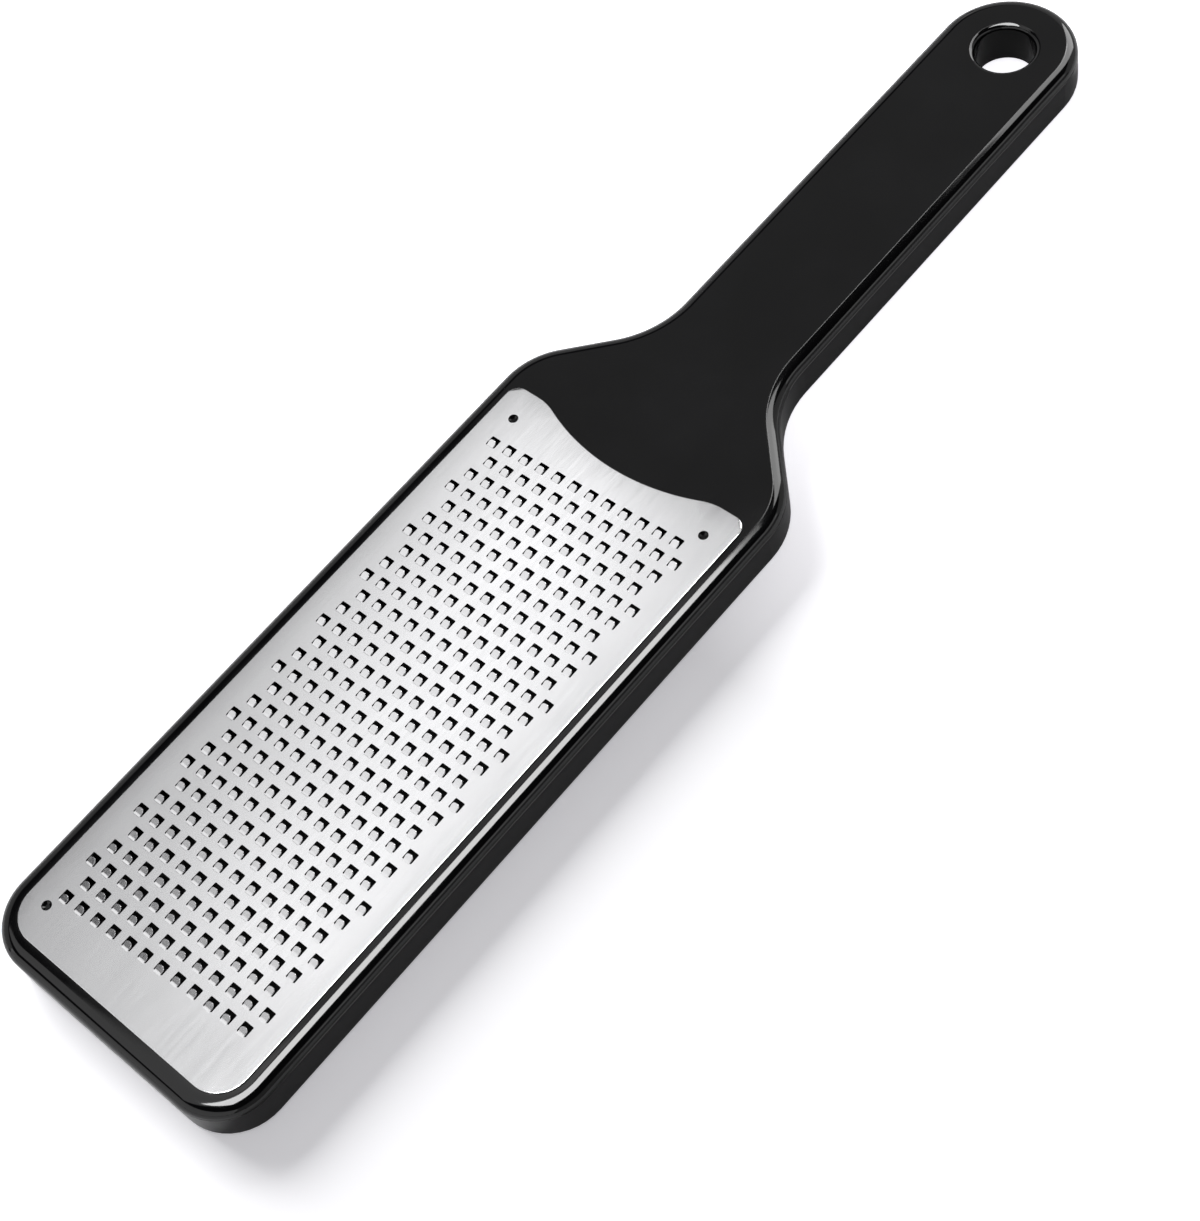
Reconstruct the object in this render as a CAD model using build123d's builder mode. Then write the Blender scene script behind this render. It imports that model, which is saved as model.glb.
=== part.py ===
from build123d import *
from math import cos, radians
import os

# Rasp zester: a pressed steel grating blade set in a two-part moulded handle and frame.
# Millimetres. +X runs across the tool, +Y towards the end of the handle, +Z up through the teeth.
# The origin is the middle of the length, on the plane that the underside rests on.

# Outline of the body
overall_length = 292.4
tip_half_width = 33.9
shoulder_half_width = 34.6
handle_half_width = 15.45
shoulder_y = 11.6
neck_y = 31.25
tip_corner_radius = 11.8
shoulder_radius = 16.8
neck_radius = 21.8

# Section of the body
body_height = 10.4
top_edge_radius = 2.3
base_edge_radius = 1.3
seam_land = 0.1
seam_bevel = 0.25
wall = 1.8
base_floor = 1.8
window_wall = 1.6
window_corner_radius = 3.0
window_edge_radius = 0.6

# Hanging hole at the handle's end
hole_radius = 6.5
hole_rim_radius = 1.25
sleeve_wall = 1.6
sleeve_foot_radius = 0.6
sleeve_foot_gap = 0.3
sleeve_clearance = 0.1

# Joint between the two mouldings
lip_thickness = 1.2
lip_depth = 2.0
lip_clearance = 0.15
peg_radius = 1.5
peg_clearance = 0.1
peg_end_gap = 0.4
peg_half_spacing = 20.0
boss_wall = 1.2
boss_gap = 0.2
rib_thickness = 1.4
rib_gap = 0.3
rib_count = 6

# Blade sheet and its seat
blade_thickness = 0.5
blade_edge_radius = 0.15
blade_clearance = 0.1
seat_depth = 0.2
side_bezel = 4.0
tip_bezel = 4.45
blade_corner_radius = 6.9
bay_y = -0.84
bay_radius = 51.0
bay_turn = 22.5
ear_radius = 12.7
ear_corner_radius = 2.9
side_ledge = 2.65
tip_ledge = 8.95
neck_ledge = 3.65

# Round holes of the blade and the posts in them
post_hole_radius = 1.05
post_clearance = 0.05
post_sink = 0.1
post_half_spacing = 25.0
neck_post_setback = 2.06
tip_post_setback = 6.95

# Teeth
tooth_rows = 30
tooth_columns = 12
tooth_pitch = 4.2
row_shift_shares = (-1 / 3, 1 / 3, 0)
row_slope_share = 0.0545
first_row_setback = 7.4
tooth_hole = 2.3
tooth_width = 1.75
tooth_lead = 0.35
tooth_length = 1.3
tooth_bend_radius = 1.4
tooth_bend_turn = 24
tooth_nose_radius = 0.6

# Extra length of a cutting tool past the faces that it cuts
overrun = 1.0

# Levels and places that follow from the sizes above
seam_z = body_height - top_edge_radius - seam_land
seat_z = body_height - seat_depth
blade_top_z = seat_z + blade_thickness
tip_y = -overall_length / 2
hole_y = overall_length / 2 - handle_half_width
blade_tip_y = tip_y + tip_bezel
ear_y = bay_y + (bay_radius + ear_radius) * (1 - cos(radians(bay_turn)))
window_low_y = blade_tip_y + tip_ledge
window_high_y = bay_y - neck_ledge
sleeve_radius = hole_radius + sleeve_wall
socket_radius = peg_radius + peg_clearance
boss_radius = socket_radius + boss_wall
rib_spacing = (hole_y - shoulder_y) / rib_count
rib_places = [shoulder_y + rib_spacing * step for step in range(rib_count)]
first_row_y = bay_y - first_row_setback
row_half_width = (tooth_columns / 2 + max(row_shift_shares)) * tooth_pitch
field_height = tooth_rows * tooth_pitch
field_y = first_row_y + (tooth_pitch - field_height) / 2


def body_half_width(y):
    """Half of the frame's width at y, between its tip and its shoulders."""
    along = (y - tip_y) / (shoulder_y - tip_y)
    return tip_half_width + (shoulder_half_width - tip_half_width) * along


window_half_width = body_half_width(blade_tip_y) - side_bezel - side_ledge
tip_peg_y = (tip_y + wall + window_low_y - window_wall) / 2

peg_places = [
    (peg_half_spacing, shoulder_y),
    (-peg_half_spacing, shoulder_y),
    (peg_half_spacing, tip_peg_y),
    (-peg_half_spacing, tip_peg_y),
    (0, rib_places[2]),
    (0, rib_places[-1]),
]

# The blade has a hole near each ear and one near the left corner of its tip
post_places = [
    (post_half_spacing, bay_y - neck_post_setback),
    (-post_half_spacing, bay_y - neck_post_setback),
    (-post_half_spacing, blade_tip_y + tip_post_setback),
]


def row_places(shift_share):
    """Centres of the square holes in one row, which is shifted sideways and runs slightly uphill."""
    middle = (tooth_columns - 1) / 2
    xs = [(column - middle + shift_share) * tooth_pitch for column in range(tooth_columns)]
    return [(x, row_slope_share * x) for x in xs]


def sloped_band(middle_y, height):
    """Corners of a band as wide as the rows and as steep, centred on the given height."""
    rise = row_slope_share * row_half_width
    return [
        (-row_half_width, middle_y - height / 2 - rise),
        (row_half_width, middle_y - height / 2 + rise),
        (row_half_width, middle_y + height / 2 + rise),
        (-row_half_width, middle_y + height / 2 - rise),
    ]


# Outline of the whole body: frame, shoulders, neck, and a handle with a half-round end
with BuildSketch() as body_face:
    with BuildLine():
        side = FilletPolyline(
            (0, tip_y),
            (tip_half_width, tip_y),
            (shoulder_half_width, shoulder_y),
            (handle_half_width, neck_y),
            (handle_half_width, hole_y),
            radius=(tip_corner_radius, shoulder_radius, neck_radius),
        )
        JernArc(side @ 1, (0, 1), handle_half_width, 90)
        mirror(about=Plane.YZ)
    make_face()

# Outline of the blade: a long sheet whose neck edge dips in a bay between two ears
with BuildSketch() as blade_face:
    with BuildLine():
        bay = CenterArc((0, bay_y + bay_radius), bay_radius, -90, bay_turn)
        ear = JernArc(bay @ 1, bay % 1, ear_radius, -bay_turn)
        FilletPolyline(
            ear @ 1,
            (body_half_width(ear_y) - side_bezel, ear_y),
            (body_half_width(blade_tip_y) - side_bezel, blade_tip_y),
            (0, blade_tip_y),
            radius=(ear_corner_radius, blade_corner_radius),
        )
        mirror(about=Plane.YZ)
    make_face()

# Outline of the window under the teeth
with BuildSketch() as window_face:
    with Locations((0, (window_low_y + window_high_y) / 2)):
        RectangleRounded(2 * window_half_width, window_high_y - window_low_y, window_corner_radius)


# Lid: the flat top of the handle and the bezel round the blade, with the sleeve, lip, pegs and posts
with BuildPart() as upper_shell:
    with BuildSketch(Plane.XY.offset(seam_z)):
        add(body_face.sketch)
    extrude(amount=body_height - seam_z)
    lid_top = upper_shell.faces().sort_by(Axis.Z)[-1]
    fillet(lid_top.outer_wire().edges(), top_edge_radius)

    with BuildSketch(Plane.XY.offset(seam_z)):
        add(body_face.sketch)
        offset(amount=-(wall + lip_clearance))
        offset(amount=-lip_thickness, mode=Mode.SUBTRACT)
    extrude(amount=-lip_depth)

    with BuildSketch(Plane.XY.offset(sleeve_foot_gap)):
        with Locations((0, hole_y)):
            Circle(sleeve_radius)
    extrude(amount=seam_z - sleeve_foot_gap)

    with BuildSketch(Plane.XY.offset(base_floor + peg_end_gap)):
        with Locations(*peg_places):
            Circle(peg_radius)
    extrude(amount=seam_z - base_floor - peg_end_gap)

    with BuildSketch(Plane.XY.offset(-overrun)):
        with Locations((0, hole_y)):
            Circle(hole_radius)
    extrude(amount=body_height + 2 * overrun, mode=Mode.SUBTRACT)
    bore_edges = upper_shell.edges(Select.LAST).filter_by(GeomType.CIRCLE).sort_by(Axis.Z)
    fillet(bore_edges[-1], hole_rim_radius)
    fillet(bore_edges[0], sleeve_foot_radius)

    with BuildSketch(Plane.XY.offset(seat_z)):
        add(blade_face.sketch)
        offset(amount=blade_clearance)
    extrude(amount=seat_depth + overrun, mode=Mode.SUBTRACT)
    with BuildSketch(Plane.XY.offset(seam_z - overrun)):
        add(window_face.sketch)
    extrude(amount=body_height - seam_z + 2 * overrun, mode=Mode.SUBTRACT)

    with BuildSketch(Plane.XY.offset(seam_z)):
        with Locations(*post_places):
            Circle(post_hole_radius - post_clearance)
    extrude(amount=blade_top_z - post_sink - seam_z)


# Outer face of the wall round the window, and the room that the ribs reach across
with BuildSketch() as window_wall_face:
    add(window_face.sketch)
    offset(amount=window_wall)
with BuildSketch() as rib_room:
    add(body_face.sketch)
    offset(amount=-wall / 2)

# Tray: the underside of the handle and the open ring below the bezel, with ribs and peg sockets
with BuildPart() as lower_shell:
    with BuildSketch():
        add(body_face.sketch)
    extrude(amount=seam_z)
    fillet(lower_shell.faces().sort_by(Axis.Z)[0].outer_wire().edges(), base_edge_radius)
    chamfer(lower_shell.faces().sort_by(Axis.Z)[-1].outer_wire().edges(), seam_bevel)

    with BuildSketch(Plane.XY.offset(base_floor)):
        add(body_face.sketch)
        offset(amount=-wall)
        add(window_wall_face.sketch, mode=Mode.SUBTRACT)
    extrude(amount=seam_z, mode=Mode.SUBTRACT)

    with BuildSketch(Plane.XY.offset(base_floor)):
        with Locations(*[(0, rib_y) for rib_y in rib_places]):
            Rectangle(2 * shoulder_half_width, rib_thickness)
        add(rib_room.sketch, mode=Mode.INTERSECT)
    extrude(amount=seam_z - lip_depth - rib_gap - base_floor)

    with BuildSketch(Plane.XY.offset(base_floor)):
        with Locations(*peg_places):
            Circle(boss_radius)
    extrude(amount=seam_z - boss_gap - base_floor)
    with BuildSketch(Plane.XY.offset(base_floor)):
        with Locations(*peg_places):
            Circle(socket_radius)
    extrude(amount=seam_z, mode=Mode.SUBTRACT)

    with BuildSketch(Plane.XY.offset(-overrun)):
        add(window_face.sketch)
        with Locations((0, hole_y)):
            Circle(sleeve_radius + sleeve_clearance)
    extrude(amount=body_height + 2 * overrun, mode=Mode.SUBTRACT)
    window_foot = lower_shell.faces().sort_by(Axis.Z)[0].inner_wires().sort_by(Axis.Y)[0]
    fillet(window_foot.edges(), window_edge_radius)


# One tooth at the origin: a tongue that bends up from the tip side of its hole, with a rounded nose
with BuildPart() as tooth:
    root_y = -tooth_hole / 2 - tooth_lead
    with BuildSketch(Plane.YZ):
        with BuildLine():
            top = JernArc((root_y, blade_top_z), (1, 0), tooth_bend_radius, tooth_bend_turn)
            under = JernArc(
                (root_y, seat_z), (1, 0), tooth_bend_radius + blade_thickness, tooth_bend_turn
            )
            top_run = PolarLine(top @ 1, tooth_length, direction=top % 1)
            under_run = PolarLine(under @ 1, tooth_length, direction=under % 1)
            Line(top_run @ 1, under_run @ 1)
            Line(top @ 0, under @ 0)
        make_face()
    extrude(amount=tooth_width / 2, both=True)
    tooth_reach = tooth.part.bounding_box().max.Y - root_y
    with BuildSketch(Plane.XY.offset(seat_z)):
        with Locations((0, root_y + tooth_reach / 2)):
            plan = Rectangle(tooth_width, tooth_reach)
        fillet(plan.vertices().group_by(Axis.Y)[-1], tooth_nose_radius)
    extrude(amount=tooth_length + tooth_bend_radius + blade_thickness, mode=Mode.INTERSECT)

# The rows come in as many kinds as there are sideways shifts: each is a band with its holes and teeth
rows = []
for shift_share in row_shift_shares:
    with BuildPart() as row:
        with BuildSketch(Plane.XY.offset(seat_z)):
            with BuildLine():
                Polyline(*sloped_band(0, tooth_pitch), close=True)
            make_face()
            with Locations(*row_places(shift_share)):
                Rectangle(tooth_hole, tooth_hole, mode=Mode.SUBTRACT)
        extrude(amount=blade_thickness)
        with Locations(*row_places(shift_share)):
            add(tooth.part)
    rows.append(row.part)

# Blade: a rim with the round holes, filled with the bands of teeth
with BuildPart() as grating_blade:
    with BuildSketch(Plane.XY.offset(seat_z)):
        add(blade_face.sketch)
        with Locations(*post_places):
            Circle(post_hole_radius, mode=Mode.SUBTRACT)
        with BuildLine():
            Polyline(*sloped_band(field_y, field_height), close=True)
        make_face(mode=Mode.SUBTRACT)
    extrude(amount=blade_thickness)
    rim_top = grating_blade.faces().sort_by(Axis.Z)[-1]
    fillet(rim_top.outer_wire().edges(), blade_edge_radius)
    for kind, row_part in enumerate(rows):
        same_rows = range(kind, tooth_rows, len(rows))
        with Locations(*[(0, first_row_y - index * tooth_pitch) for index in same_rows]):
            add(row_part)

upper_shell.part.label = "upper_shell"
lower_shell.part.label = "lower_shell"
grating_blade.part.label = "grating_blade"

os.makedirs("parts", exist_ok=True)
export_step(upper_shell.part, "parts/upper_shell.step")
export_step(lower_shell.part, "parts/lower_shell.step")
export_step(grating_blade.part, "parts/grating_blade.step")
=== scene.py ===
import math

import bmesh
import bpy
from mathutils import Euler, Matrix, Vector
from mathutils.geometry import delaunay_2d_cdt
from mathutils.kdtree import KDTree


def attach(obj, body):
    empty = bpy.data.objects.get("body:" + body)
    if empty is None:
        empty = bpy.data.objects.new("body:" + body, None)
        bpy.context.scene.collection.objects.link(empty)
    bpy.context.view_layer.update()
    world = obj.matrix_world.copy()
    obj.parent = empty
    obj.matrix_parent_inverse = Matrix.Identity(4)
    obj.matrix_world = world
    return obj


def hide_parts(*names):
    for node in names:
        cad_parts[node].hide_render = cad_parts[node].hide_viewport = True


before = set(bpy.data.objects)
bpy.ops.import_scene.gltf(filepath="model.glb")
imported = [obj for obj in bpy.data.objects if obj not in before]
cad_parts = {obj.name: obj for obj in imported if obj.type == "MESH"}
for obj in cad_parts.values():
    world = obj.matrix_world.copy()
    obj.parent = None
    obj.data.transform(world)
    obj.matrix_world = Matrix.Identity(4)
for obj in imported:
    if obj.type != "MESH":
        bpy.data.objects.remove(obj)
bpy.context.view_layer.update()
print("frame loaded:", sorted(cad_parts))

mm = 0.001


# small helpers for node materials

def newMaterial(name):
    mat = bpy.data.materials.new(name)
    mat.use_nodes = True
    tree = mat.node_tree
    shader = tree.nodes["Principled BSDF"]
    return mat, tree, shader


def addNode(tree, kind, **settings):
    node = tree.nodes.new(kind)
    for key, value in settings.items():
        setattr(node, key, value)
    return node


def calculate(tree, operation, *values):
    # each value is a number or another node's output
    node = addNode(tree, "ShaderNodeMath", operation=operation)
    for socket, value in zip(node.inputs, values):
        if isinstance(value, (int, float)):
            socket.default_value = value
        else:
            tree.links.new(value, socket)
    return node.outputs[0]


def objectCoords(tree, scale=(1, 1, 1)):
    coords = addNode(tree, "ShaderNodeTexCoord")
    mapping = addNode(tree, "ShaderNodeMapping")
    mapping.inputs["Scale"].default_value = scale
    tree.links.new(coords.outputs["Object"], mapping.inputs["Vector"])
    return mapping.outputs["Vector"]


def splitCoords(tree, vector):
    split = addNode(tree, "ShaderNodeSeparateXYZ")
    tree.links.new(vector, split.inputs[0])
    return split.outputs


def noise(tree, vector, size, detail, roughness=0.5):
    node = addNode(tree, "ShaderNodeTexNoise")
    node.inputs["Scale"].default_value = size
    node.inputs["Detail"].default_value = detail
    node.inputs["Roughness"].default_value = roughness
    tree.links.new(vector, node.inputs["Vector"])
    return node.outputs["Fac"]


def remap(tree, value, low, high, toLow, toHigh):
    node = addNode(tree, "ShaderNodeMapRange")
    node.inputs["From Min"].default_value = low
    node.inputs["From Max"].default_value = high
    node.inputs["To Min"].default_value = toLow
    node.inputs["To Max"].default_value = toHigh
    tree.links.new(value, node.inputs["Value"])
    return node.outputs["Result"]


def bump(tree, height, strength, distance, normal=None):
    node = addNode(tree, "ShaderNodeBump")
    node.inputs["Strength"].default_value = strength
    node.inputs["Distance"].default_value = distance
    tree.links.new(height, node.inputs["Height"])
    if normal:
        tree.links.new(normal, node.inputs["Normal"])
    return node.outputs["Normal"]


def mixColours(tree, factor, first, second):
    node = addNode(tree, "ShaderNodeMix", data_type="RGBA")
    for socket, colour in ((node.inputs[6], first), (node.inputs[7], second)):
        if isinstance(colour, tuple):
            socket.default_value = (*colour, 1)
        else:
            tree.links.new(colour, socket)
    tree.links.new(factor, node.inputs[0])
    return node.outputs[2]


# black moulded plastic: almost a mirror, with a little haze and hairline scratches
# a noise is its size and detail, a span the part of it that counts, a bump its strength and distance
# shares multiply the roughness at the span's two ends

plasticFinish = {
    "ior": 1.48,
    "hazeNoise": (55, 4),
    "hazeSpan": (0.3, 0.75),
    "hazeShares": (0.7, 1.6),
    "wornSpan": (0.4, 0.7),
    "rippleNoise": (9, 1),
    "rippleBump": (0.05, 0.4 * mm),
    "grainNoise": (2600, 2),
    "grainBump": (0.02, 0.02 * mm),
    "scratchStretch": (30, 1.5, 30),
    "scratchNoise": (220, 2),
    "scratchBump": (0.015, 0.03 * mm),
}

blackPlastic = {
    "lid": {"colour": (0.0012, 0.0012, 0.0014), "worn": (0.0026, 0.0026, 0.003), "roughness": 0.07},
    "tray": {"colour": (0.0014, 0.0014, 0.0016), "worn": (0.003, 0.003, 0.003), "roughness": 0.08},
}


def makePlastic(name, look):
    finish = plasticFinish
    mat, tree, shader = newMaterial(name)
    even = objectCoords(tree)
    haze = noise(tree, even, *finish["hazeNoise"])
    ripple = noise(tree, even, *finish["rippleNoise"])
    grain = noise(tree, even, *finish["grainNoise"])
    scratch = noise(tree, objectCoords(tree, finish["scratchStretch"]), *finish["scratchNoise"])
    colour = mixColours(tree, remap(tree, haze, *finish["wornSpan"], 0, 1), look["colour"], look["worn"])
    tree.links.new(colour, shader.inputs["Base Color"])
    smooth, dull = (look["roughness"] * share for share in finish["hazeShares"])
    tree.links.new(remap(tree, haze, *finish["hazeSpan"], smooth, dull), shader.inputs["Roughness"])
    normal = bump(tree, ripple, *finish["rippleBump"])
    normal = bump(tree, grain, *finish["grainBump"], normal)
    normal = bump(tree, scratch, *finish["scratchBump"], normal)
    tree.links.new(normal, shader.inputs["Normal"])
    shader.inputs["IOR"].default_value = finish["ior"]
    return mat


# stainless sheet: faint clouds in its colour, and a lengthwise grain in how dull it is

bladeSteel = {
    "colour": (0.76, 0.76, 0.77),
    "darker": (0.72, 0.72, 0.73),
    "cloudNoise": (40, 3),
    "cloudSpan": (0.35, 0.7),
    "roughness": 0.14,
    "grainStretch": (14, 1.2, 14),
    "grainNoise": (90, 4, 0.6),
    "grainSpan": (0.3, 0.7),
    "grainShares": (0.85, 1.15),
    "fineNoise": (3000, 2),
    "fineBump": (0.03, 0.006 * mm),
    "dishMiddle": (0, -0.07),
    "dishCurve": (0.2, 0.16),
}


def makeSteel(name, look):
    mat, tree, shader = newMaterial(name)
    even = objectCoords(tree)
    clouds = noise(tree, even, *look["cloudNoise"])
    grain = noise(tree, objectCoords(tree, look["grainStretch"]), *look["grainNoise"])
    fine = noise(tree, even, *look["fineNoise"])
    colour = mixColours(tree, remap(tree, clouds, *look["cloudSpan"], 0, 1), look["colour"], look["darker"])
    tree.links.new(colour, shader.inputs["Base Color"])
    smooth, dull = (look["roughness"] * share for share in look["grainShares"])
    tree.links.new(remap(tree, grain, *look["grainSpan"], smooth, dull), shader.inputs["Roughness"])
    # the pressed sheet isn't quite flat: it is dished by a hair
    places = splitCoords(tree, even)
    rises = []
    for axis, middle, curve in zip("XY", look["dishMiddle"], look["dishCurve"]):
        away = calculate(tree, "SUBTRACT", places[axis], middle)
        rises.append(calculate(tree, "MULTIPLY", calculate(tree, "MULTIPLY", away, away), curve))
    # the dish's height is in metres already
    normal = bump(tree, calculate(tree, "ADD", *rises), 1, 1)
    normal = bump(tree, fine, *look["fineBump"], normal)
    tree.links.new(normal, shader.inputs["Normal"])
    shader.inputs["Metallic"].default_value = 1
    return mat


lidPlastic = makePlastic("lidPlastic", blackPlastic["lid"])
trayPlastic = makePlastic("trayPlastic", blackPlastic["tray"])
steelSheet = makeSteel("steelSheet", bladeSteel)
print("materials made")


# small helpers for outlines and meshes, in millimetres

def arcPoints(centre, radius, start, end, steps):
    points = []
    for k in range(steps + 1):
        angle = math.radians(start + (end - start) * k / steps)
        points.append((centre[0] + radius * math.cos(angle), centre[1] + radius * math.sin(angle)))
    return points


def circle(spot, radius, steps=72):
    return arcPoints(spot, radius, 0, 360 - 360 / steps, steps - 1)


def roundedPath(corners, radii, steps=12):
    # straight runs through the corners, each corner turned into an arc
    points = [corners[0]]
    for before, corner, after, radius in zip(corners, corners[1:], corners[2:], radii):
        c = Vector(corner)
        back = (Vector(before) - c).normalized()
        ahead = (Vector(after) - c).normalized()
        half = back.angle(ahead) / 2
        middle = c + (back + ahead).normalized() * radius / math.sin(half)
        first = c + back * radius / math.tan(half)
        last = c + ahead * radius / math.tan(half)
        u = first - middle
        v = last - middle
        turn = u.angle(v)
        for k in range(steps + 1):
            t = k / steps
            w = u * math.sin((1 - t) * turn) / math.sin(turn) + v * math.sin(t * turn) / math.sin(turn)
            points.append(tuple(middle + w))
    points.append(corners[-1])
    return points


def roundedBox(left, right, low, high, radius, steps):
    loop = []
    for x, y, start in (
        (right - radius, high - radius, 0),
        (left + radius, high - radius, 90),
        (left + radius, low + radius, 180),
        (right - radius, low + radius, 270),
    ):
        loop += arcPoints((x, y), radius, start, start + 90, steps)
    return loop


def mirrored(half):
    # half runs from the centre line round the +X side back to the centre line
    return half + [(-x, y) for x, y in reversed(half[1:-1])]


def inside(loop, point):
    # crossing count of a ray towards +X
    odd = False
    for (x0, y0), (x1, y1) in zip(loop, loop[1:] + loop[:1]):
        if (y0 > point.y) != (y1 > point.y):
            if point.x < x0 + (point.y - y0) / (y1 - y0) * (x1 - x0):
                odd = not odd
    return odd


def fillLoops(bm, loops, z):
    # flat face inside the first loop and outside the others, as triangles
    points = []
    edges = []
    for loop in loops:
        start = len(points)
        points += [Vector(p) for p in loop]
        edges += [(start + k, start + (k + 1) % len(loop)) for k in range(len(loop))]
    places, _, triangles = delaunay_2d_cdt(points, edges, [], 1, 1e-5)[:3]
    holes = loops[1:]
    crowded = len(holes) > 4
    middles = KDTree(max(1, len(holes)))
    for k, hole in enumerate(holes):
        middles.insert(sum((Vector((x, y, 0)) for x, y in hole), Vector()) / len(hole), k)
    middles.balance()
    verts = [bm.verts.new((p.x, p.y, z)) for p in places]
    for triangle in triangles:
        centre = sum((places[k] for k in triangle), Vector((0, 0))) / len(triangle)
        # among hundreds of small holes only the nearest can hold the triangle
        nearby = [holes[middles.find((centre.x, centre.y, 0))[1]]] if crowded else holes
        if not any(inside(hole, centre) for hole in nearby):
            bm.faces.new([verts[k] for k in triangle])


def ringBand(bm, loops):
    # quads between neighbouring loops of equal length, each given as points and a height
    rings = []
    for points, z in loops:
        rings.append([bm.verts.new((x, y, z)) for x, y in points])
    for low, high in zip(rings, rings[1:]):
        for k in range(len(low)):
            after = (k + 1) % len(low)
            bm.faces.new((low[k], low[after], high[after], high[k]))


def finishMesh(name, bm, material, smoothAngle):
    for vert in bm.verts:
        vert.co *= mm
    bmesh.ops.recalc_face_normals(bm, faces=bm.faces[:])
    mesh = bpy.data.meshes.new(name)
    bm.to_mesh(mesh)
    bm.free()
    mesh.shade_smooth()
    mesh.set_sharp_from_angle(angle=math.radians(smoothAngle))
    mesh.materials.append(material)
    piece = bpy.data.objects.new(name, mesh)
    bpy.context.scene.collection.objects.link(piece)
    # wide flat faces keep their own direction beside narrow rounded ones
    even = piece.modifiers.new("evenNormals", "WEIGHTED_NORMAL")
    even.keep_sharp = True
    even.weight = 100
    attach(piece, "root")
    return piece


# the blade: one sheet with every hole in it and the outline of the frame's blade

bladeSizes = {
    "topZ": 10.7,
    "thickness": 0.5,
    "bayY": -0.84,
    "bayRadius": 51.0,
    "bayTurn": 22.5,
    "earRadius": 12.7,
    "earCorner": 2.9,
    "tipY": -141.75,
    "tipCorner": 6.9,
    "earHalfWidth": 30.565,
    "tipHalfWidth": 29.92,
    "rimRound": 0.15,
    "rimSteps": 3,
    "postHole": 1.05,
    "postSpots": [(25, -2.9), (-25, -2.9), (-25, -134.8)],
    "smoothAngle": 35,
}


def bladeOutline():
    size = bladeSizes
    turn = size["bayTurn"]
    bay = arcPoints((0, size["bayY"] + size["bayRadius"]), size["bayRadius"], -90, turn - 90, steps=16)
    x, y = bay[-1]
    angle = math.radians(turn)
    centre = (x + size["earRadius"] * math.sin(angle), y - size["earRadius"] * math.cos(angle))
    ear = arcPoints(centre, size["earRadius"], 90 + turn, 90, steps=8)
    earTop = ear[-1][1]
    rest = roundedPath(
        [ear[-1], (size["earHalfWidth"], earTop), (size["tipHalfWidth"], size["tipY"]), (0, size["tipY"])],
        [size["earCorner"], size["tipCorner"]],
    )
    return mirrored(bay + ear[1:] + rest[1:])


# where the teeth stand and how one is shaped: the sheet has a square hole under each

toothSizes = {
    "rows": 30,
    "columns": 12,
    "pitch": 4.2,
    "rowShifts": (-1 / 3, 1 / 3, 0),
    "slope": 0.0545,
    "firstY": -8.24,
    "hole": 2.3,
    "holeCorner": 0.2,
    "width": 1.75,
    "lead": 0.35,
    "bendRadius": 1.4,
    "bendTurn": 24,
    "length": 1.3,
    "nose": 0.68,
    "noseTurn": 86.2275,
    "noseBlunt": 0.8,
    "thickness": 0.42,
    "bevel": 0.09,
    "bevelDrop": 0.17,
    "steps": 8,
    "smoothAngle": 28,
}


def toothSpots():
    spots = []
    size = toothSizes
    for row in range(size["rows"]):
        shift = size["rowShifts"][row % 3]
        for column in range(size["columns"]):
            x = (column - (size["columns"] - 1) / 2 + shift) * size["pitch"]
            spots.append((x, size["firstY"] - row * size["pitch"] + size["slope"] * x))
    return spots


def squareHole(spot):
    half = toothSizes["hole"] / 2
    left, right = spot[0] - half, spot[0] + half
    low, high = spot[1] - half, spot[1] + half
    return roundedBox(left, right, low, high, toothSizes["holeCorner"], steps=3)


def outlineEdges(bm, outline, z):
    # the edges at this height where the sheet's flat top turns down into its outer wall
    onRim = {(round(x, 4), round(y, 4)) for x, y in outline}
    found = []
    for edge in bm.edges:
        level = all(abs(v.co.z - z) < 1e-6 for v in edge.verts)
        if level and len(edge.link_faces) == 2 and edge.calc_face_angle() > 1:
            if all((round(v.co.x, 4), round(v.co.y, 4)) in onRim for v in edge.verts):
                found.append(edge)
    return found


def makeSheet():
    size = bladeSizes
    bm = bmesh.new()
    outline = bladeOutline()
    loops = [outline] + [squareHole(spot) for spot in toothSpots()]
    loops += [circle(spot, size["postHole"], steps=24) for spot in size["postSpots"]]
    fillLoops(bm, loops, size["topZ"])
    walls = bmesh.ops.extrude_face_region(bm, geom=bm.faces[:])
    lower = [item for item in walls["geom"] if isinstance(item, bmesh.types.BMVert)]
    bmesh.ops.translate(bm, verts=lower, vec=(0, 0, -size["thickness"]))
    rim = outlineEdges(bm, outline, size["topZ"])
    bmesh.ops.bevel(
        bm, geom=rim, offset=size["rimRound"], segments=size["rimSteps"],
        profile=0.5, affect="EDGES", clamp_overlap=False,
    )
    return finishMesh("bladeSheet", bm, steelSheet, size["smoothAngle"])


# the teeth: bent-up tongues, each with a narrow bevel round its nose

def toothRise(y):
    # height of a tooth's back above the sheet, y measured from where the bend starts
    size = toothSizes
    angle = math.radians(size["bendTurn"])
    bendEnd = size["bendRadius"] * math.sin(angle)
    if y <= bendEnd:
        return size["bendRadius"] * (1 - math.sqrt(max(0, 1 - (y / size["bendRadius"]) ** 2)))
    return size["bendRadius"] * (1 - math.cos(angle)) + (y - bendEnd) * math.tan(angle)


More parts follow.
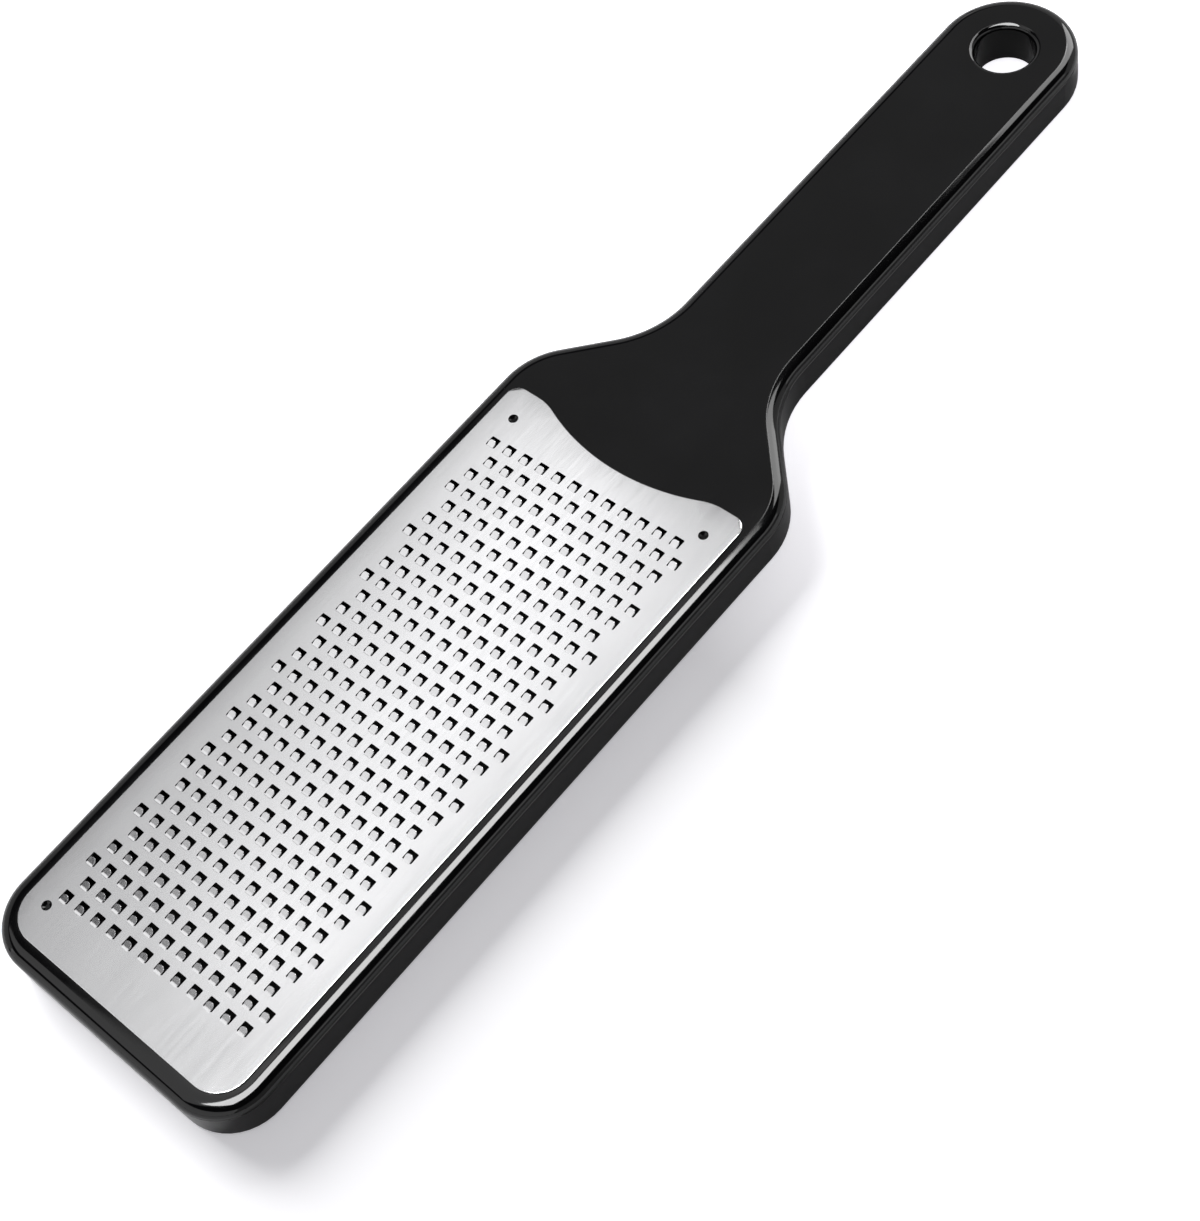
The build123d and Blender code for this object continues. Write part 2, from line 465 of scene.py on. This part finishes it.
def toothPlan():
    # half of the tooth's plan: pairs of half width and distance from the start of the bend
    size = toothSizes
    steps = size["steps"]
    angle = math.radians(size["bendTurn"])
    reach = size["bendRadius"] * math.sin(angle) + size["length"] * math.cos(angle)
    half = size["width"] / 2
    shoulder = reach - size["nose"]
    plan = [(half, shoulder * k / steps) for k in range(steps)]
    # the nose stops short of its middle, which leaves a small flat
    for k in range(steps + 1):
        t = math.radians(size["noseTurn"] * k / steps)
        plan.append((half * math.cos(t) ** size["noseBlunt"], shoulder + size["nose"] * math.sin(t)))
    return plan


def addTooth(bm, spot):
    size = toothSizes
    top = bladeSizes["topZ"]
    rootY = spot[1] - size["hole"] / 2 - size["lead"]
    plan = toothPlan()
    noseShare = 1 - size["bevel"] / size["nose"]
    shoulder = plan[-1][1] - size["nose"]
    edge, crown, under = [], [], []
    for halfOut, yOut in plan:
        # the bevel is as steep all round, and narrows towards the root
        grow = min(1, yOut / size["lead"])
        halfIn = halfOut * (1 - grow * size["bevel"] / size["width"] * 2)
        yIn = yOut if yOut <= shoulder else shoulder + (yOut - shoulder) * noseShare
        outZ = top + toothRise(yOut)
        for ring, half, y, z in (
            (edge, halfOut, yOut, outZ - size["bevelDrop"] * grow),
            (crown, halfIn, yIn, top + toothRise(yIn)),
            (under, halfOut, yOut, outZ - size["thickness"]),
        ):
            ring.append([bm.verts.new((spot[0] + side * half, rootY + y, z)) for side in (-1, 1)])
    for k in range(len(edge) - 1):
        bm.faces.new((crown[k][0], crown[k][1], crown[k + 1][1], crown[k + 1][0]))
        bm.faces.new((under[k][0], under[k + 1][0], under[k + 1][1], under[k][1]))
        for side in (0, 1):
            bm.faces.new((crown[k][side], crown[k + 1][side], edge[k + 1][side], edge[k][side]))
            bm.faces.new((edge[k][side], edge[k + 1][side], under[k + 1][side], under[k][side]))
    bm.faces.new((crown[-1][0], crown[-1][1], edge[-1][1], edge[-1][0]))
    bm.faces.new((edge[-1][0], edge[-1][1], under[-1][1], under[-1][0]))
    bm.faces.new((crown[0][0], edge[0][0], under[0][0], under[0][1], edge[0][1], crown[0][1]))


def makeTeeth():
    bm = bmesh.new()
    for spot in toothSpots():
        addTooth(bm, spot)
    return finishMesh("bladeTeeth", bm, steelSheet, toothSizes["smoothAngle"])


# the lid: soft top edge, flat top, the blade's shallow seat, the window and the hanging hole

lidSizes = {
    "tipY": -146.2,
    "tipHalfWidth": 33.9,
    "shoulderHalfWidth": 34.6,
    "shoulderY": 11.6,
    "neckY": 31.25,
    "handleHalfWidth": 15.45,
    "holeY": 130.75,
    "tipCorner": 11.8,
    "shoulderRound": 16.8,
    "neckRound": 21.8,
    "topZ": 10.4,
    "seamZ": 8.0,
    "seamInset": 0.05,
    "seamRise": 0.1,
    "edgeAcross": 3.0,
    "edgeDown": 2.3,
    "edgeSteps": 14,
    "seatZ": 10.2,
    "seatGap": 0.1,
    "windowHalfWidth": 27.27,
    "windowY": (-132.8, -4.49),
    "windowCorner": 3.0,
    "hole": 6.5,
    "holeRim": 1.25,
    "rimSteps": 8,
    "sleeve": 8.1,
    "sleeveFoot": 0.3,
    "sleeveBevel": 0.6,
    "post": {
        "radius": 1.0,
        "rootDepth": 0.4,
        "topZ": 10.6,
        "rimAcross": 0.12,
        "rimDown": 0.15,
        "dimple": 0.3,
        "dimpleDeep": 0.5,
        "steps": 24,
    },
    "smoothAngle": 28,
}


def bodyOutline(inset=0):
    # every run is moved inwards by the inset, and the corner arcs keep their centres
    size = lidSizes
    corners = [
        (0, size["tipY"]),
        (size["tipHalfWidth"], size["tipY"]),
        (size["shoulderHalfWidth"], size["shoulderY"]),
        (size["handleHalfWidth"], size["neckY"]),
        (size["handleHalfWidth"], size["holeY"]),
    ]
    moved = [(0, size["tipY"] + inset)]
    for before, corner, after in zip(corners, corners[1:], corners[2:]):
        ahead = (Vector(after) - Vector(corner)).normalized()
        back = (Vector(corner) - Vector(before)).normalized()
        inner = [Vector((-d.y, d.x)) for d in (back, ahead)]
        middle = (inner[0] + inner[1]).normalized()
        moved.append(tuple(Vector(corner) + middle * inset / middle.dot(inner[0])))
    moved.append((size["handleHalfWidth"] - inset, size["holeY"]))
    radii = [size["tipCorner"] - inset, size["shoulderRound"] - inset, size["neckRound"] + inset]
    side = roundedPath(moved, radii, steps=20)
    end = arcPoints((0, size["holeY"]), size["handleHalfWidth"] - inset, 0, 90, steps=30)
    return mirrored(side + end[1:])


def seatLoop():
    # the blade's outline, moved out by the gap
    points = [Vector(p) for p in bladeOutline()]
    moved = []
    for k, point in enumerate(points):
        along = (points[(k + 1) % len(points)] - points[k - 1]).normalized()
        moved.append(tuple(point + Vector((-along.y, along.x)) * lidSizes["seatGap"]))
    return moved


def quarterTurn(steps):
    return [math.pi / 2 * k / steps for k in range(steps + 1)]


def addPost(bm, spot):
    # a post stands in the seat and comes up through the blade's round hole
    size = lidSizes["post"]
    root = circle(spot, size["radius"], size["steps"])
    rim = circle(spot, size["radius"] - size["rimAcross"], size["steps"])
    dimple = circle(spot, size["dimple"], size["steps"])
    rootZ = lidSizes["seatZ"] - size["rootDepth"]
    dimpleZ = size["topZ"] - size["dimpleDeep"]
    rimZ = size["topZ"] - size["rimDown"]
    ringBand(bm, [(root, rootZ), (root, rimZ), (rim, size["topZ"]), (dimple, dimpleZ)])
    fillLoops(bm, [dimple], dimpleZ)
    fillLoops(bm, [root], rootZ)


def makeLid():
    size = lidSizes
    top, seam = size["topZ"], size["seamZ"]
    bm = bmesh.new()

    # outer wall: a hairline step at the seam, then the rounded top edge
    outer = [(bodyOutline(size["seamInset"]), seam), (bodyOutline(), seam + size["seamRise"])]
    for t in quarterTurn(size["edgeSteps"]):
        inset = size["edgeAcross"] * (1 - math.cos(t))
        outer.append((bodyOutline(inset), top - size["edgeDown"] * (1 - math.sin(t))))
    ringBand(bm, outer)

    # hanging hole: rounded rim, bore, and the sleeve round it that goes down through the tray
    hub = (0, size["holeY"])
    rim = size["holeRim"]
    foot, bevel = size["sleeveFoot"], size["sleeveBevel"]
    bore = []
    for t in quarterTurn(size["rimSteps"]):
        bore.append((circle(hub, size["hole"] + rim * (1 - math.sin(t))), top - rim * (1 - math.cos(t))))
    bore += [(circle(hub, size["hole"]), foot + bevel), (circle(hub, size["hole"] + bevel), foot)]
    bore += [(circle(hub, size["sleeve"]), foot), (circle(hub, size["sleeve"]), seam)]
    ringBand(bm, bore)

    # seat and window
    half = size["windowHalfWidth"]
    window = roundedBox(-half, half, *size["windowY"], size["windowCorner"], steps=6)
    seat = seatLoop()
    ringBand(bm, [(seat, top), (seat, size["seatZ"])])
    ringBand(bm, [(window, size["seatZ"]), (window, seam)])

    # flat faces: top, seat and the underside at the seam
    fillLoops(bm, [bodyOutline(size["edgeAcross"]), seat, circle(hub, size["hole"] + rim)], top)
    fillLoops(bm, [seat, window], size["seatZ"])
    fillLoops(bm, [bodyOutline(size["seamInset"]), window, circle(hub, size["sleeve"])], seam)

    for spot in bladeSizes["postSpots"]:
        addPost(bm, spot)
    # the bands and the flat faces become one skin
    bmesh.ops.remove_doubles(bm, verts=bm.verts[:], dist=0.002)
    return finishMesh("moulded_lid", bm, lidPlastic, size["smoothAngle"])


lid = makeLid()
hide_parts("upper_shell")
print("lid made")


def dress(node, material):
    for slot in node.material_slots:
        slot.link = "OBJECT"
        slot.material = material


dress(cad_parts["lower_shell"], trayPlastic)
for piece in (makeSheet(), makeTeeth()):
    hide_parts("grating_blade")
print("blade made:", len(toothSpots()), "teeth")


# floor, lamps and camera, in metres

# the lift is light that the floor gives off by itself, as the camera or a reflection sees it
stageLook = {
    "floorSize": 6.0,
    "floorZ": -0.00005,
    "floorColour": (0.8, 0.8, 0.81),
    "paperColour": (0.83, 0.83, 0.84),
    "paperNoise": (400, 3),
    "roughness": 0.9,
    "specular": 0.1,
    "liftColour": (0.97, 0.96, 1.0),
    "bladeLift": 0.43,
    "handleLift": 0.95,
    "handleZone": (-0.02, 0.035),
    "mirrorLift": 0.06,
    # a painted shadow: a near-black box on the paper under the blade's window, given by its middle and half
    # sizes
    "paintedShadowColour": (0.01, 0.01, 0.01),
    "paintedShadowMiddle": (0, -0.0686),
    "paintedShadowHalf": (0.03, 0.067),
    "worldColour": (0.95, 0.94, 1),
    "worldLevel": 0.035,
}

# panels show only in reflections, and lights light only the paper
# a lamp faces the origin, or straight down where "down" is set
lamps = [
    {"name": "softbox", "kind": "panel", "down": True,
     "spot": (-0.025, -0.085, 1.15), "size": (0.61, 1.03), "power": 33},
    {"name": "bladePanel", "kind": "panel", "down": True,
     "spot": (-0.595, 0.18, 1.15), "size": (0.41, 0.55), "power": 0.45},
    {"name": "midPanel", "kind": "panel", "down": True,
     "spot": (-0.595, 0.2525, 1.146), "size": (0.41, 0.405), "power": 0.032},
    {"name": "neckPanelNear", "kind": "panel", "down": True,
     "spot": (-0.595, 0.3225, 1.148), "size": (0.41, 0.265), "power": 0.03},
    {"name": "neckPanelFar", "kind": "panel", "down": True,
     "spot": (-0.595, 0.3875, 1.147), "size": (0.41, 0.135), "power": 0.016},
    {"name": "bandPanel", "kind": "panel", "down": True, "turn": 8,
     "spot": (-0.65, 0.23, 1.149), "size": (0.1, 0.45), "power": 0.09},
    {"name": "handlePanel", "kind": "panel", "down": True,
     "spot": (-0.65, 1.0, 1.149), "size": (0.6, 1.05), "power": 0.6},
    {"name": "toothPanel", "kind": "panel",
     "spot": (-0.57, -0.53, 1.16), "size": (0.84, 0.84), "power": 2.2},
    {"name": "frontWall", "kind": "panel", "spot": (0, -2.4, 0.8), "size": (4.8, 1.6), "power": 23},
    {"name": "leftWall", "kind": "panel", "spot": (-2.4, 0, 0.8), "size": (4.8, 1.6), "power": 12},
    {"name": "rightWall", "kind": "panel", "spot": (2.4, 0, 0.8), "size": (4.8, 1.6), "power": 7},
    {"name": "backWall", "kind": "panel", "spot": (0, 2.4, 0.8), "size": (4.8, 1.6), "power": 12},
    {"name": "backPanel", "kind": "panel",
     "spot": (-0.03, 1.25, 0.85), "size": (0.6, 1.1), "power": 10},
    {"name": "edgeStrip", "kind": "panel", "down": True,
     "spot": (-0.33, 0.95, 1.15), "size": (0.05, 0.9), "power": 1.1},
    {"name": "seamPanel", "kind": "panel",
     "spot": (1.0, 0.42, 0.52), "size": (1.0, 0.25), "power": 0.8},
    {"name": "key", "kind": "light", "spot": (-2.2, 0.3, 1.15), "size": (1.7, 1.7), "power": 125},
    {"name": "fill", "kind": "light", "spot": (0, 0, 1.6), "size": (2.4, 2.4), "power": 5.5},
]

cameraLook = {
    "spot": (0.21368, -0.15571, 0.37088),
    "turn": (31.491, 10.0403, 40.6469),
    "lens": 66.602,
    "sensor": 36,
    "near": 0.01,
    "far": 20,
}


def makePaper(look):
    mat, tree, shader = newMaterial("floorPaper")
    shader.inputs["Roughness"].default_value = look["roughness"]
    shader.inputs["Specular IOR Level"].default_value = look["specular"]
    even = objectCoords(tree)
    places = splitCoords(tree, even)
    # painted shadow: under the blade's window the paper's colour is near black, and it gets no lift there
    sides = []
    for axis, middle, half in zip("XY", look["paintedShadowMiddle"], look["paintedShadowHalf"]):
        distance = calculate(tree, "ABSOLUTE", calculate(tree, "SUBTRACT", places[axis], middle))
        sides.append(calculate(tree, "GREATER_THAN", distance, half))
    outside = calculate(tree, "MAXIMUM", *sides)
    paper = mixColours(tree, noise(tree, even, *look["paperNoise"]), look["floorColour"], look["paperColour"])
    tree.links.new(mixColours(tree, outside, look["paintedShadowColour"], paper), shader.inputs["Base Color"])
    # no shadow shows beside the handle, so the camera sees that paper lifted more
    path = addNode(tree, "ShaderNodeLightPath").outputs
    zone = remap(tree, places["Y"], *look["handleZone"], look["bladeLift"], look["handleLift"])
    seen = calculate(tree, "MULTIPLY", path["Is Camera Ray"], zone)
    lift = calculate(tree, "MULTIPLY_ADD", path["Is Glossy Ray"], look["mirrorLift"], seen)
    shader.inputs["Emission Color"].default_value = (*look["liftColour"], 1)
    # the lift is off in the painted shadow under the blade
    tree.links.new(calculate(tree, "MULTIPLY", lift, outside), shader.inputs["Emission Strength"])
    return mat


def makeFloor():
    half = stageLook["floorSize"] / 2
    level = stageLook["floorZ"]
    mesh = bpy.data.meshes.new("floor")
    corners = [(-half, -half, level), (half, -half, level), (half, half, level), (-half, half, level)]
    mesh.from_pydata(corners, [], [(0, 1, 2, 3)])
    floor = bpy.data.objects.new("floor", mesh)
    bpy.context.scene.collection.objects.link(floor)
    mesh.materials.append(makePaper(stageLook))


def makeLamps():
    for lamp in lamps:
        data = bpy.data.lights.new(lamp["name"], "AREA")
        data.shape = "RECTANGLE"
        data.size, data.size_y = lamp["size"]
        data.energy = lamp["power"]
        light = bpy.data.objects.new(lamp["name"], data)
        light.location = lamp["spot"]
        if lamp.get("down"):
            light.rotation_euler = (0, 0, math.radians(lamp.get("turn", 0)))
        else:
            light.rotation_euler = Vector(lamp["spot"]).to_track_quat("Z", "Y").to_euler()
        light.visible_diffuse = lamp["kind"] == "light"
        light.visible_glossy = lamp["kind"] == "panel"
        light.visible_camera = False
        bpy.context.scene.collection.objects.link(light)


def makeWorld():
    world = bpy.data.worlds.new("studio")
    world.use_nodes = True
    back = world.node_tree.nodes["Background"]
    back.inputs["Color"].default_value = (*stageLook["worldColour"], 1)
    back.inputs["Strength"].default_value = stageLook["worldLevel"]
    bpy.context.scene.world = world


def makeCamera():
    data = bpy.data.cameras.new("camera")
    data.lens = cameraLook["lens"]
    data.sensor_width = cameraLook["sensor"]
    data.clip_start = cameraLook["near"]
    data.clip_end = cameraLook["far"]
    camera = bpy.data.objects.new("camera", data)
    camera.location = cameraLook["spot"]
    camera.rotation_euler = Euler([math.radians(angle) for angle in cameraLook["turn"]])
    bpy.context.scene.collection.objects.link(camera)
    bpy.context.scene.camera = camera


makeFloor()
makeLamps()
makeWorld()
makeCamera()
bpy.context.scene.view_settings.view_transform = "Standard"
print("stage made")
